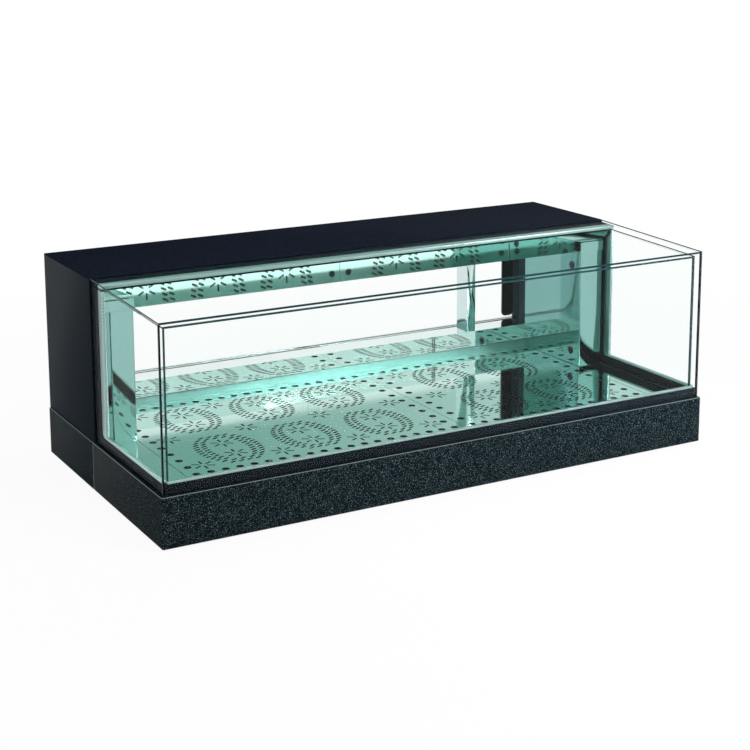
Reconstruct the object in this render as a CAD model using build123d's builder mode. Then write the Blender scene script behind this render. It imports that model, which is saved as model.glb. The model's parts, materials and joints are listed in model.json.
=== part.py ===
from build123d import *

import math
import os

os.makedirs("parts", exist_ok=True)

# Countertop display case for sushi, built as sheet-metal base, glass box and rear cabinet.
# Millimetres. X runs along the front, +Y goes to the operator's side, +Z is up.
# The origin is on the counter, under the middle of the case.

# Overall size
case_width = 900.0
case_depth = 456.0
case_height = 314.0
base_height = 73.0
foot_height = 2.0
cabinet_depth = 198.0
cabinet_overhang = 1.5
cabinet_inset = 2.0
header_height = 47.0
end_wall = 60.0
front_drop = 9.0

# Sheets
steel = 1.2
liner = 1.0

# Glass box
glass_inset = 4.0
pane = 3.0
pane_gap = 5.0
border_rear = 24.0
border_bottom = 15.0
border_corner = 8.0
spacer_rear = 14.0
spacer_bottom = 3.0
seal_clearance = 0.3

# Display floor
tray_front_margin = 35.0
tray_depth = 336.0
tray_joint_offset = 52.0
tray_sheet = 1.2
tray_ledge = 8.0
tray_gap = 0.5
tray_end_gap = 1.4
ledge_flange = 15.0
well_floor = 22.0
support_bar_width = 16.0
support_bar_height = 6.0

# Perforation of the trays
edge_hole = 11.0
edge_hole_inset = 15.0
edge_hole_pitch = 21.3
side_hole_pitch = 31.0
motif_pitch = 121.6
motif_inset = 70.0
ring_width = 96.0
ring_length = 132.0
ring_band = 22.0
ring_rows_apart = 148.0
ring_row_pitch = 8.8
ring_slot_pitch = 11.6
ring_slot_length = 10.5
ring_slot_width = 3.6
ring_slot_turn = 24.0
ring_slot_overlap = 2.0
star_reach = 17.0
star_hub = 5.0
star_slot = 3.0
star_arms = 6
star_offset = 24.0
star_row_offset = 123.0

# Rear frame and sliding doors
rear_frame_depth = 61.5
rear_jamb = 46.0
sill_height = 39.0
sill_lip = 2.0
sill_lip_height = 12.0
lower_track_height = 10.0
upper_track_height = 13.0
track_front_wall = 2.0
door_glass = 4.0
door_pitch = 9.0
door_setback = 9.5
door_overlap = 20.0
door_clearance = 0.5
rail_wall = 1.0
rail_height = 8.0
jamb_rebate = 5.0
door_entry = 3.0
door_engagement = 5.0
pull_width = 24.0
pull_height = 136.0
pull_thickness = 3.0
pull_inset = 2.0
pull_corner = 8.0
post_x = 280.0
post_width = 16.0
post_depth = 34.0
post_setback = 2.0

# Cabinet inside
jamb_plate_width = 35.0
jamb_plate_thickness = 2.0
jamb_setback = 19.0
valance_front = 36.0
valance_drop = 4.0
valance_lip = 12.0
valance_return = 8.0
led_width = 42.0
led_height = 6.0
led_setback = 9.0
grommet_radius = 6.5
grommet_neck = 5.0
grommet_depth = 1.0
grommet_inset = 22.0
grommet_low = 23.0
grommet_high = 168.0

# Cooling coil and drain in the well
coil_radius = 4.76
coil_wall = 0.8
coil_height = 34.0
coil_pitch = 48.0
coil_runs = 14
coil_start = -340.0
coil_end_gap = 12.0
saddle_width = 10.0
drain_x = -28.0
drain_radius = 8.0
drain_bore = 6.0
drain_rise = 2.0
nut_height = 3.0
nut_rim = 6.0
nut_sides = 6

# Service panel at the rear of the base
panel_recess = 8.0
service_space = 46.0
screw_radius = 2.0
screw_head = 3.6
screw_head_height = 2.0
screw_clearance = 0.1
screw_inset = 50.0
panel_flange = 14.0
controller_x = 330.0
controller_width = 76.0
controller_height = 34.0
controller_bezel = 2.5
controller_depth = 30.0
controller_body_inset = 3.0
lens_width = 32.0
lens_height = 15.0
lens_depth = 0.8
button_radius = 3.5
button_length = 2.4
button_proud = 0.8
button_travel = 0.6
button_pitch = 10.0
button_clearance = 0.1
switch_x = (245.0, 205.0)
switch_width = 21.0
switch_height = 30.0
switch_bezel = 2.0
switch_depth = 22.0
rocker_width = 14.0
rocker_half = 10.4
rocker_waist = 7.3
rocker_rise = 3.5
rocker_valley = 1.8
rocker_back = 3.5
rocker_tilt = 7.0
rocker_clearance = 0.3
inlet_x = 130.0
inlet_width = 50.0
inlet_height = 28.0
inlet_flange = 3.0
inlet_depth = 24.0
socket_width = 24.0
socket_height = 16.5
socket_depth = 17.0
socket_corner = 4.0
inlet_pin_pitch = 7.0
inlet_pin_width = 2.0
inlet_pin_height = 4.0
inlet_pin_length = 14.0
inlet_screw_pitch = 40.0
pipe_grommet_wall = 3.0
pipe_grommet_lip = 2.0

# Feet and plinth details
foot_radius = 15.0
foot_inset_x = 50.0
foot_inset_y = 40.0
foot_screw_recess = 1.0
plinth_lip = 10.0
plinth_corner = 2.0
seam_gap = 1.0
seam_notch = 3.0
seam_notch_height = 23.0
seam_setback = 2.0

# Places worked out from the sizes above
half = case_width / 2
front = -(case_depth + cabinet_overhang) / 2
rear = front + case_depth
cabinet_front = rear - cabinet_depth
cabinet_rear = rear + cabinet_overhang
ceiling = case_height - header_height
skin = half - steel
cabinet_half = half - cabinet_inset
shell = cabinet_half - steel
glass_out = half - glass_inset
glass_front = front + glass_inset
unit = 2 * pane + pane_gap
glass_in = glass_out - unit
glass_front_in = glass_front + unit
wall_in = half - end_wall
frame_front = cabinet_rear - rear_frame_depth
jamb_front = cabinet_front - jamb_setback
jamb_in = half - rear_jamb
deck_under = base_height - tray_sheet
flange_under = deck_under - liner
tray_front = glass_front_in + tray_front_margin
tray_rear = tray_front + tray_depth
pan_bottom = foot_height + steel
pan_top = pan_bottom + steel
panel_out = rear - panel_recess + steel
panel_in = panel_out - steel
well_in = wall_in - tray_ledge
well_front = tray_front + tray_ledge
well_rear = tray_rear - tray_ledge
foam_rear = panel_in - service_space
sill_top = base_height + sill_height
outer_door = cabinet_rear - door_setback
inner_door = outer_door - door_pitch
track_front = inner_door - door_glass / 2 - rail_wall - door_clearance - track_front_wall
track_rear = outer_door + door_glass / 2 + rail_wall + door_clearance + track_front_wall
track_floor = sill_top - lower_track_height
door_bottom = sill_top - rail_height + rail_wall
door_top = ceiling - upper_track_height + door_engagement
door_edge = jamb_in + door_entry
panel_middle = (pan_top + deck_under) / 2
switch_body_half = switch_width / 2 - switch_bezel
switch_body_rise = switch_height / 2 - switch_bezel
inlet_body_half = socket_width / 2 + switch_bezel
inlet_body_rise = socket_height / 2 + switch_bezel


def glass_top(y):
    """Height of the top glass's upper face, which falls towards the front."""
    slope = front_drop / (cabinet_front - glass_front)
    return case_height - slope * (cabinet_front - y)


def block(low, high, mode=Mode.ADD):
    """A box between two corners."""
    size = [b - a for a, b in zip(low, high)]
    middle = [(a + b) / 2 for a, b in zip(low, high)]
    with Locations(tuple(middle)):
        Box(*size, mode=mode)


def mirrored_block(low, high, mode=Mode.ADD):
    """A box and its twin on the other side of the middle plane."""
    block(low, high, mode)
    block((-high[0], low[1], low[2]), (-low[0], high[1], high[2]), mode)


def side_profile(points, x_low, x_high, mode=Mode.ADD):
    """A prism along X whose outline is given as (y, z) points."""
    with BuildSketch(Plane.YZ.offset(x_low)) as outline:
        with BuildLine() as edge:
            Polyline(*points, close=True)
        make_face(edge.edges())
    extrude(outline.sketch, amount=x_high - x_low, mode=mode)


def rod(x, z, y_low, y_high, radius, mode=Mode.ADD):
    """A round bar along Y."""
    with BuildSketch(Plane.XZ.offset(-y_high)) as outline:
        with Locations((x, z)):
            Circle(radius)
    extrude(outline.sketch, amount=y_high - y_low, mode=mode)


def post(x, y, z_low, z_high, radius, mode=Mode.ADD):
    """A round bar along Z."""
    with BuildSketch(Plane.XY.offset(z_low)) as outline:
        with Locations((x, y)):
            Circle(radius)
    extrude(outline.sketch, amount=z_high - z_low, mode=mode)


pieces = {}

# Screws and feet: places shared by the holes and the screws
foot_rows = (front + foot_inset_y, rear - foot_inset_y)
foot_places = [(sx * (half - foot_inset_x), y) for sx in (-1, 1) for y in foot_rows]
panel_screw_rows = (pan_top + panel_flange / 2, deck_under - panel_flange / 2)
panel_screw_spots = [
    (x * (skin - screw_inset), z) for x in (-1.0, -1.0 / 3, 1.0 / 3, 1.0) for z in panel_screw_rows
]

# Base pan: the bottom sheet, turned up at the rear
with BuildPart() as base_pan:
    block((-skin, front + steel, pan_bottom), (skin, panel_in, pan_top))
    block((-skin, panel_in - steel, pan_top), (skin, panel_in, pan_top + panel_flange))
    for x, y in foot_places:
        post(x, y, pan_bottom, pan_top, screw_radius + screw_clearance, Mode.SUBTRACT)
    for x, z in panel_screw_spots:
        if z == panel_screw_rows[0]:
            rod(x, z, panel_in - steel, panel_in, screw_radius + screw_clearance, Mode.SUBTRACT)
pieces["base_pan"] = base_pan

# Front plinth cover: front and both sides in one bent sheet, with a ledge for the glass
side_end = cabinet_front + seam_setback
with BuildPart() as front_plinth_cover:
    block((-half, front, foot_height), (half, front + steel, base_height))
    mirrored_block((skin, front + steel, foot_height), (half, side_end, base_height))
    block((-skin, front + steel, deck_under), (skin, glass_front_in, base_height))
    mirrored_block((glass_in, glass_front_in, deck_under), (skin, cabinet_front, base_height))
    block((-skin, front + steel, foot_height), (skin, front + steel + plinth_lip, pan_bottom))
    mirrored_block(
        (skin - plinth_lip, front + steel + plinth_lip, foot_height), (skin, side_end, pan_bottom)
    )
    corner_edges = front_plinth_cover.edges().filter_by(Axis.Z).group_by(Axis.Y)[0]
    fillet(corner_edges, plinth_corner)
pieces["front_plinth_cover"] = front_plinth_cover

# Rear plinth sides: two bent sheets behind the seam, with flanges for the service panel
with BuildPart() as rear_plinth_sides:
    seam = side_end + seam_gap
    mirrored_block((skin, seam, foot_height), (half, rear, base_height))
    mirrored_block((skin - plinth_lip, seam, foot_height), (skin, panel_in, pan_bottom))
    mirrored_block(
        (skin - plinth_lip, panel_in - steel, pan_top + panel_flange),
        (skin, panel_in, deck_under - panel_flange),
    )
    mirrored_block(
        (skin, seam, foot_height),
        (half, seam + seam_notch - seam_gap, foot_height + seam_notch_height),
        Mode.SUBTRACT,
    )
pieces["rear_plinth_sides"] = rear_plinth_sides

# Well liner: the pan under the trays, hung from a flange that also carries them
with BuildPart() as well_liner:
    block(
        (-wall_in - ledge_flange, tray_front - ledge_flange, flange_under),
        (wall_in + ledge_flange, tray_rear + ledge_flange, deck_under),
    )
    block(
        (-well_in - liner, well_front - liner, well_floor - liner),
        (well_in + liner, well_rear + liner, flange_under),
    )
    block((-well_in, well_front, well_floor), (well_in, well_rear, deck_under), Mode.SUBTRACT)
    drain_z = well_floor + drain_rise + drain_bore
    rod(drain_x, drain_z, well_rear, well_rear + liner, drain_radius + screw_clearance, Mode.SUBTRACT)
    coil_ports = (coil_start, coil_start + (coil_runs - 1) * coil_pitch)
    for x in coil_ports:
        rod(x, coil_height, well_rear, well_rear + liner, coil_radius + screw_clearance, Mode.SUBTRACT)
pieces["well_liner"] = well_liner

# Foam in the base, round the well
with BuildPart() as base_insulation:
    block((-skin, front + steel, pan_top), (skin, foam_rear, flange_under))
    block(
        (-well_in - liner, well_front - liner, well_floor - liner),
        (well_in + liner, well_rear + liner, flange_under),
        Mode.SUBTRACT,
    )
    rod(drain_x, drain_z, well_rear, foam_rear, drain_radius + screw_clearance, Mode.SUBTRACT)
    for x in coil_ports:
        rod(x, coil_height, well_rear, foam_rear, coil_radius + screw_clearance, Mode.SUBTRACT)
pieces["base_insulation"] = base_insulation

# Deck plate: the polished surround that the trays lie flush with
with BuildPart() as deck_plate:
    block((-glass_in, glass_front_in, deck_under), (glass_in, cabinet_front, base_height))
    block((-skin, cabinet_front, deck_under), (skin, rear, base_height))
    block(
        (-skin, panel_in - steel, deck_under - panel_flange), (skin, panel_in, deck_under)
    )
    block((-wall_in, tray_front, deck_under), (wall_in, tray_rear, base_height), Mode.SUBTRACT)
    for x, z in panel_screw_spots:
        if z == panel_screw_rows[1]:
            rod(x, z, panel_in - steel, panel_in, screw_radius + screw_clearance, Mode.SUBTRACT)
pieces["deck_plate"] = deck_plate

# Support bar under the joint of the two trays
with BuildPart() as tray_support_bar:
    block(
        (tray_joint_offset - support_bar_width / 2, well_front, deck_under - support_bar_height),
        (tray_joint_offset + support_bar_width / 2, well_rear, deck_under),
    )
pieces["tray_support_bar"] = tray_support_bar


def tray_spots(x_low, x_high):
    """Centres of the round edge holes, the ring motifs and the stars of one tray."""
    y_low = tray_front + edge_hole_inset
    y_high = tray_rear - edge_hole_inset
    x_first = x_low + edge_hole_inset
    x_last = x_high - edge_hole_inset
    across = max(2, round((x_last - x_first) / edge_hole_pitch) + 1)
    deep = max(2, round((y_high - y_low) / side_hole_pitch) + 1)
    xs = [x_first + (x_last - x_first) * i / (across - 1) for i in range(across)]
    ys = [y_low + (y_high - y_low) * i / (deep - 1) for i in range(deep)]
    holes = [(x, y) for x in xs for y in (y_low, y_high)]
    holes += [(x, y) for x in (x_first, x_last) for y in ys[1:-1]]
    count = max(1, int((x_high - x_low - motif_inset) // motif_pitch))
    middle_x = (x_low + x_high) / 2
    middle_y = (tray_front + tray_rear) / 2
    columns = [middle_x + (i - (count - 1) / 2) * motif_pitch for i in range(count)]
    rings = [(x, middle_y + s * ring_rows_apart / 2) for x in columns for s in (-1, 1)]
    stars = [(x, y + s * star_offset) for x, y in rings for s in (-1, 1)]
    gaps = [middle_x + (i - count / 2) * motif_pitch for i in range(count + 1)]
    stars += [(x, middle_y + s * star_row_offset) for x in gaps for s in (-1, 0, 1)]
    return holes, rings, stars


def oval_reach(width, length, dy):
    """Half the width of an oval at a distance from its middle."""
    return width / 2 * math.sqrt(max(0.0, 1 - (2 * dy / length) ** 2))


def ring_slots_at(x, y):
    """Places of the slanted slots that fill one oval ring, row by row."""
    straight = (ring_slot_length - ring_slot_width) / 2
    slot_reach = straight * math.cos(math.radians(ring_slot_turn)) + ring_slot_width / 2
    places = []
    rows = int(ring_length // ring_row_pitch)
    for row in range(rows):
        dy = (row - (rows - 1) / 2) * ring_row_pitch
        last = oval_reach(ring_width, ring_length, dy) - slot_reach
        inner = oval_reach(ring_width - 2 * ring_band, ring_length - 2 * ring_band, dy)
        if inner > 0:
            room = last - inner - slot_reach + ring_slot_overlap
            steps = range(int(room // ring_slot_pitch) + 1)
            offsets = [s * (last - step * ring_slot_pitch) for step in steps for s in (-1, 1)]
        else:
            count = int(2 * last // ring_slot_pitch) + 1
            offsets = [last * (2 * i / max(1, count - 1) - 1) for i in range(count)]
        for dx in offsets:
            places.append(Location((x + dx, y + dy, 0), (0, 0, ring_slot_turn)))
    return places


def star_slots_at(x, y):
    """Places of the short slots that make one star round a plain hub."""
    middle = (star_reach + star_hub) / 2
    places = []
    for arm in range(star_arms):
        turn = 90 + arm * 360 / star_arms
        dx = middle * math.cos(math.radians(turn))
        dy = middle * math.sin(math.radians(turn))
        places.append(Location((x + dx, y + dy, 0), (0, 0, turn)))
    return places


# Trays: two loose perforated sheets that lie on the well's flange and the support bar
tray_ends = {
    "tray_left": (-wall_in + tray_end_gap, tray_joint_offset - tray_gap),
    "tray_right": (tray_joint_offset + tray_gap, wall_in - tray_end_gap),
}
for name, (x_low, x_high) in tray_ends.items():
    holes, rings, stars = tray_spots(x_low, x_high)
    with BuildPart() as tray:
        with BuildSketch(Plane.XY.offset(deck_under)):
            with Locations(((x_low + x_high) / 2, (tray_front + tray_rear) / 2)):
                Rectangle(x_high - x_low, tray_depth - 2 * tray_gap)
            with Locations(*holes):
                Circle(edge_hole / 2, mode=Mode.SUBTRACT)
            with Locations(*[place for x, y in rings for place in ring_slots_at(x, y)]):
                SlotOverall(ring_slot_length, ring_slot_width, mode=Mode.SUBTRACT)
            with Locations(*[place for x, y in stars for place in star_slots_at(x, y)]):
                SlotOverall(star_reach - star_hub, star_slot, mode=Mode.SUBTRACT)
        extrude(amount=tray_sheet)
    pieces[name] = tray

# Cooling coil: one tube in even runs along Y, with both ends led out at the rear
bend = coil_pitch / 2
run_front = well_front + coil_end_gap + bend + coil_radius
run_rear = well_rear - coil_end_gap - bend - coil_radius
pipe_end = cabinet_rear
with BuildPart() as well_coil:
    with BuildLine() as coil_path:
        Line((coil_start, pipe_end, coil_height), (coil_start, run_front, coil_height))
        for i in range(coil_runs - 1):
            x = coil_start + i * coil_pitch
            at_front = i % 2 == 0
            y = run_front if at_front else run_rear
            reach = -bend if at_front else bend
            ThreePointArc(
                (x, y, coil_height), (x + bend, y + reach, coil_height), (x + coil_pitch, y, coil_height)
            )
            if i < coil_runs - 2:
                far = run_rear if at_front else run_front
                Line((x + coil_pitch, y, coil_height), (x + coil_pitch, far, coil_height))
        last = coil_start + (coil_runs - 1) * coil_pitch
        Line((last, run_front, coil_height), (last, pipe_end, coil_height))
    with BuildSketch(Plane.XZ.offset(-pipe_end)):
        with Locations((coil_start, coil_height)):
            Circle(coil_radius)
            Circle(coil_radius - coil_wall, mode=Mode.SUBTRACT)
    sweep()
pieces["well_coil"] = well_coil

# Saddles: flat bars that hold the coil off the well's floor
with BuildPart() as coil_saddles:
    for y in (run_front, run_rear):
        block(
            (coil_start - bend, y - saddle_width / 2, well_floor),
            (coil_ports[1] + bend, y + saddle_width / 2, coil_height - coil_radius),
        )
pieces["coil_saddles"] = coil_saddles

# Drain tube from the well's rear wall to the service panel, and its nut
with BuildPart() as drain_tube:
    rod(drain_x, drain_z, well_rear, cabinet_rear, drain_radius)
    rod(drain_x, drain_z, well_rear, cabinet_rear, drain_bore, Mode.SUBTRACT)
pieces["drain_tube"] = drain_tube

with BuildPart() as drain_nut:
    with BuildSketch(Plane.XZ.offset(-panel_out - nut_height)):
        with Locations((drain_x, drain_z)):
            RegularPolygon(drain_radius + nut_rim, nut_sides)
            Circle(drain_radius, mode=Mode.SUBTRACT)
    extrude(amount=nut_height)
pieces["drain_nut"] = drain_nut

# Service panel: closes the base at the rear and carries the controls
with BuildPart() as rear_service_panel:
    block((-skin, panel_in, foot_height), (skin, panel_out, deck_under))
    for x, z in panel_screw_spots:
        rod(x, z, panel_in, panel_out, screw_radius + screw_clearance, Mode.SUBTRACT)
    rod(drain_x, drain_z, panel_in, panel_out, drain_radius, Mode.SUBTRACT)
    for x in coil_ports:
        rod(x, coil_height, panel_in, panel_out, coil_radius + pipe_grommet_wall / 2, Mode.SUBTRACT)
    body_half = controller_width / 2 - controller_body_inset
    body_rise = controller_height / 2 - controller_body_inset
    block(
        (controller_x - body_half, panel_in, panel_middle - body_rise),
        (controller_x + body_half, panel_out, panel_middle + body_rise),
        Mode.SUBTRACT,
    )
    for x in switch_x:
        block(
            (x - switch_body_half, panel_in, panel_middle - switch_body_rise),
            (x + switch_body_half, panel_out, panel_middle + switch_body_rise),
            Mode.SUBTRACT,
        )
    block(
        (inlet_x - inlet_body_half, panel_in, panel_middle - inlet_body_rise),
        (inlet_x + inlet_body_half, panel_out, panel_middle + inlet_body_rise),
        Mode.SUBTRACT,
    )
    for s in (-1, 1):
        rod(
            inlet_x + s * inlet_screw_pitch / 2, panel_middle, panel_in, panel_out,
            screw_radius + screw_clearance, Mode.SUBTRACT,
        )
pieces["rear_service_panel"] = rear_service_panel

# Rubber rings where the two pipes pass the service panel
with BuildPart() as pipe_grommets:
    for x in coil_ports:
        rod(x, coil_height, panel_in, panel_out, coil_radius + pipe_grommet_wall / 2)
        rod(x, coil_height, panel_out, panel_out + pipe_grommet_lip, coil_radius + pipe_grommet_wall)
        rod(x, coil_height, panel_in, panel_out + pipe_grommet_lip, coil_radius, Mode.SUBTRACT)
pieces["pipe_grommets"] = pipe_grommets

# Temperature controller with its display window and three keys
bezel_face = panel_out + controller_bezel
button_floor = bezel_face - button_length + button_proud - button_travel
button_places = [controller_x - controller_width / 4 + (i - 1) * button_pitch for i in range(3)]
lens_x = controller_x + controller_width / 6
with BuildPart() as controller_body:
    block(
        (controller_x - controller_width / 2, panel_out, panel_middle - controller_height / 2),
        (controller_x + controller_width / 2, bezel_face, panel_middle + controller_height / 2),
    )
    block(
        (controller_x - body_half, panel_out - controller_depth, panel_middle - body_rise),
        (controller_x + body_half, panel_out, panel_middle + body_rise),
    )
    block(
        (lens_x - lens_width / 2, bezel_face - lens_depth, panel_middle - lens_height / 2),
        (lens_x + lens_width / 2, bezel_face, panel_middle + lens_height / 2),
        Mode.SUBTRACT,
    )
    for x in button_places:
        rod(x, panel_middle, button_floor - button_clearance, bezel_face,
            button_radius + button_clearance, Mode.SUBTRACT)
pieces["controller_body"] = controller_body

with BuildPart() as controller_lens:
    block(
        (lens_x - lens_width / 2, bezel_face - lens_depth, panel_middle - lens_height / 2),
        (lens_x + lens_width / 2, bezel_face, panel_middle + lens_height / 2),
    )
pieces["controller_lens"] = controller_lens

for x, key in zip(button_places, ("down", "up", "set")):
    with BuildPart() as key_cap:
        key_top = bezel_face + button_proud
        rod(x, panel_middle, key_top - button_length, key_top, button_radius)
        fillet(key_cap.edges().group_by(Axis.Y)[-1], button_proud / 2)
    pieces["key_" + key] = key_cap

# Two rocker switches in one kind of housing
rocker_axis = panel_out
rocker_half_width = rocker_width / 2
with BuildPart() as switch_housings:
    for x in switch_x:
        block(
            (x - switch_width / 2, panel_out, panel_middle - switch_height / 2),
            (x + switch_width / 2, panel_out + switch_bezel, panel_middle + switch_height / 2),
        )
        block(
            (x - switch_body_half, panel_out - switch_depth, panel_middle - switch_body_rise),
            (x + switch_body_half, panel_out, panel_middle + switch_body_rise),
        )
        reach = math.hypot(rocker_half, rocker_rise) + rocker_clearance
        block(
            (x - rocker_half_width - rocker_clearance, rocker_axis - reach / 2, panel_middle - reach),
            (x + rocker_half_width + rocker_clearance, panel_out + switch_bezel, panel_middle + reach),
            Mode.SUBTRACT,
        )
pieces["switch_housings"] = switch_housings

for x, use in zip(switch_x, ("power", "light")):
    with BuildPart() as rocker:
        profile = [
            (-rocker_back, -rocker_waist),
            (-rocker_back, rocker_waist),
            (0.0, rocker_half),
            (rocker_rise, rocker_half),
            (rocker_valley, 0.0),
            (rocker_rise, -rocker_half),
            (0.0, -rocker_half),
        ]
        tilt = math.radians(rocker_tilt)
        turned = [
            (
                rocker_axis + y * math.cos(tilt) - z * math.sin(tilt),
                panel_middle + y * math.sin(tilt) + z * math.cos(tilt),
            )
            for y, z in profile
        ]
        side_profile(turned, x - rocker_half_width, x + rocker_half_width)
    pieces[use + "_rocker"] = rocker

# Mains inlet: a flanged socket with three flat pins
with BuildPart() as power_inlet:
    block(
        (inlet_x - inlet_width / 2, panel_out, panel_middle - inlet_height / 2),
        (inlet_x + inlet_width / 2, panel_out + inlet_flange, panel_middle + inlet_height / 2),
    )
    socket_face = panel_out + inlet_flange
    block(
        (inlet_x - inlet_body_half, socket_face - inlet_depth, panel_middle - inlet_body_rise),
        (inlet_x + inlet_body_half, panel_out, panel_middle + inlet_body_rise),
    )
    with BuildSketch(Plane.XZ.offset(-socket_face)):
        with Locations((inlet_x, panel_middle)):
            socket_outline = Rectangle(socket_width, socket_height)
        chamfer(socket_outline.vertices().group_by(Axis.Z)[-1], socket_corner)
    extrude(amount=socket_depth, mode=Mode.SUBTRACT)
    for s in (-1, 1):
        rod(inlet_x + s * inlet_screw_pitch / 2, panel_middle, panel_out, socket_face,
            screw_radius + screw_clearance, Mode.SUBTRACT)
    for dx, dz in ((-1, -1), (0, 1), (1, -1)):
        x = inlet_x + dx * inlet_pin_pitch
        z = panel_middle + dz * inlet_pin_width
        pin_root = socket_face - socket_depth
        block(
            (x - inlet_pin_width / 2, pin_root, z - inlet_pin_height / 2),
            (x + inlet_pin_width / 2, pin_root + inlet_pin_length, z + inlet_pin_height / 2),
        )
pieces["power_inlet"] = power_inlet

# Screws of the service panel, the inlet and the feet
with BuildPart() as casing_screws:
    for x, z in panel_screw_spots:
        rod(x, z, panel_in - steel, panel_out, screw_radius)
        rod(x, z, panel_out, panel_out + screw_head_height, screw_head)
    for s in (-1, 1):
        x = inlet_x + s * inlet_screw_pitch / 2
        rod(x, panel_middle, panel_in - steel, socket_face, screw_radius)
        rod(x, panel_middle, socket_face, socket_face + screw_head_height, screw_head)
    for x, y in foot_places:
        post(x, y, foot_screw_recess, foot_screw_recess + steel, screw_head)
        post(x, y, foot_screw_recess + steel, pan_top, screw_radius)
pieces["casing_screws"] = casing_screws

# Rubber feet under the base pan
with BuildPart() as rubber_feet:
    for x, y in foot_places:
        post(x, y, 0, pan_bottom, foot_radius)
        post(x, y, 0, foot_screw_recess + steel, screw_head + screw_clearance, Mode.SUBTRACT)
        post(x, y, foot_screw_recess + steel, pan_bottom, screw_radius + screw_clearance, Mode.SUBTRACT)
pieces["rubber_feet"] = rubber_feet

# Glass box: outer and inner panes of the front, the sides and the sloping top
top_low = pane
cavity_low = pane + pane_gap


def under_top(y, depth):
    """Height at a depth below the top glass's upper face."""
    return glass_top(y) - depth


def side_pane(x_low, x_high, y_start, depth):
    """An upright pane beside the display, cut to the slope of the top."""
    side_profile(
        [
            (y_start, base_height),
            (cabinet_front, base_height),
            (cabinet_front, under_top(cabinet_front, depth)),
            (y_start, under_top(y_start, depth)),
        ],
        x_low,
        x_high,
    )


def front_pane(y_low, y_high, x_half, depth):
    """The upright front pane, with its top edge cut to the slope."""
    side_profile(
        [
            (y_low, base_height),
            (y_high, base_height),
            (y_high, under_top(y_high, depth)),
            (y_low, under_top(y_low, depth)),
        ],
        -x_half,
        x_half,
    )


def top_pane(y_start, y_end, x_half, depth):
    """A sloping pane over the display."""
    side_profile(
        [
            (y_start, under_top(y_start, depth + pane)),
            (y_end, under_top(y_end, depth + pane)),
            (y_end, under_top(y_end, depth)),
            (y_start, under_top(y_start, depth)),
        ],
        -x_half,
        x_half,
    )


with BuildPart() as front_outer_pane:
    front_pane(glass_front, glass_front + pane, glass_out, pane)
pieces["front_outer_pane"] = front_outer_pane

with BuildPart() as front_inner_pane:
    front_pane(glass_front_in - pane, glass_front_in, glass_in, unit)
pieces["front_inner_pane"] = front_inner_pane

with BuildPart() as top_outer_pane:
    top_pane(glass_front, cabinet_front, glass_out, 0)
pieces["top_outer_pane"] = top_outer_pane

with BuildPart() as top_inner_pane:
    top_pane(glass_front_in - pane, cabinet_front, glass_in + pane, cavity_low)
pieces["top_inner_pane"] = top_inner_pane

for name, sign in (("left", -1), ("right", 1)):
    outer_ends = sorted((sign * glass_out, sign * (glass_out - pane)))
    inner_ends = sorted((sign * glass_in, sign * (glass_in + pane)))
    with BuildPart() as outer:
        side_pane(outer_ends[0], outer_ends[1], glass_front + pane, pane)
    pieces[name + "_outer_pane"] = outer
    with BuildPart() as inner:
        side_pane(inner_ends[0], inner_ends[1], glass_front_in - pane, unit)
    pieces[name + "_inner_pane"] = inner

# Black edge seals between the panes: along the base, and up the cabinet
border_y = cabinet_front - border_rear
border_z = base_height + border_bottom
corner_low = (border_y - border_corner, border_z)
corner_high = (border_y, border_z + border_corner)
cavity_x = glass_in + pane
cavity_y = glass_front + pane
with BuildPart() as pane_edge_seals:
    block((-cavity_x, cavity_y, base_height), (cavity_x, cavity_y + pane_gap, border_z))
    for sign in (-1, 1):
        ends = sorted((sign * cavity_x, sign * (cavity_x + pane_gap)))
        with BuildSketch(Plane.YZ.offset(ends[0])):
            with BuildLine():
                Polyline(
                    (cavity_y, base_height),
                    (cabinet_front, base_height),
                    (cabinet_front, under_top(cabinet_front, unit)),
                    (border_y, under_top(border_y, unit)),
                    corner_high,
                )
                RadiusArc(corner_high, corner_low, border_corner)
                Polyline(
                    corner_low, (cavity_y, border_z), (cavity_y, base_height)
                )
            make_face()
        extrude(amount=pane_gap)
    side_profile(
        [
            (border_y, under_top(border_y, cavity_low)),
            (cabinet_front, under_top(cabinet_front, cavity_low)),
            (cabinet_front, under_top(cabinet_front, top_low)),
            (border_y, under_top(border_y, top_low)),
        ],
        -glass_out + pane,
        glass_out - pane,
    )
pieces["pane_edge_seals"] = pane_edge_seals

# Aluminium spacer bars that show along the seals' inner edges
spacer_y = border_y - spacer_rear
spacer_z = border_z + spacer_bottom
with BuildPart() as pane_spacers:
    block(
        (-cavity_x, cavity_y, border_z), (cavity_x, cavity_y + pane_gap, spacer_z)
    )
    for sign in (-1, 1):
        ends = sorted((sign * cavity_x, sign * (cavity_x + pane_gap)))
        with BuildSketch(Plane.YZ.offset(ends[0])):
            with BuildLine():
                Line((cavity_y + pane_gap, border_z), corner_low)
                RadiusArc(corner_low, corner_high, -border_corner)
                Polyline(
                    corner_high,
                    (border_y, under_top(border_y, unit)),
                    (spacer_y, under_top(spacer_y, unit)),
                    (spacer_y, spacer_z),
                    (cavity_y + pane_gap, spacer_z),
                    (cavity_y + pane_gap, border_z),
                )
            make_face()
        extrude(amount=pane_gap)
    side_profile(
        [
            (spacer_y, under_top(spacer_y, cavity_low)),
            (border_y, under_top(border_y, cavity_low)),
            (border_y, under_top(border_y, top_low)),
            (spacer_y, under_top(spacer_y, top_low)),
        ],
        -glass_out + pane,
        glass_out - pane,
    )
pieces["pane_spacers"] = pane_spacers

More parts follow.
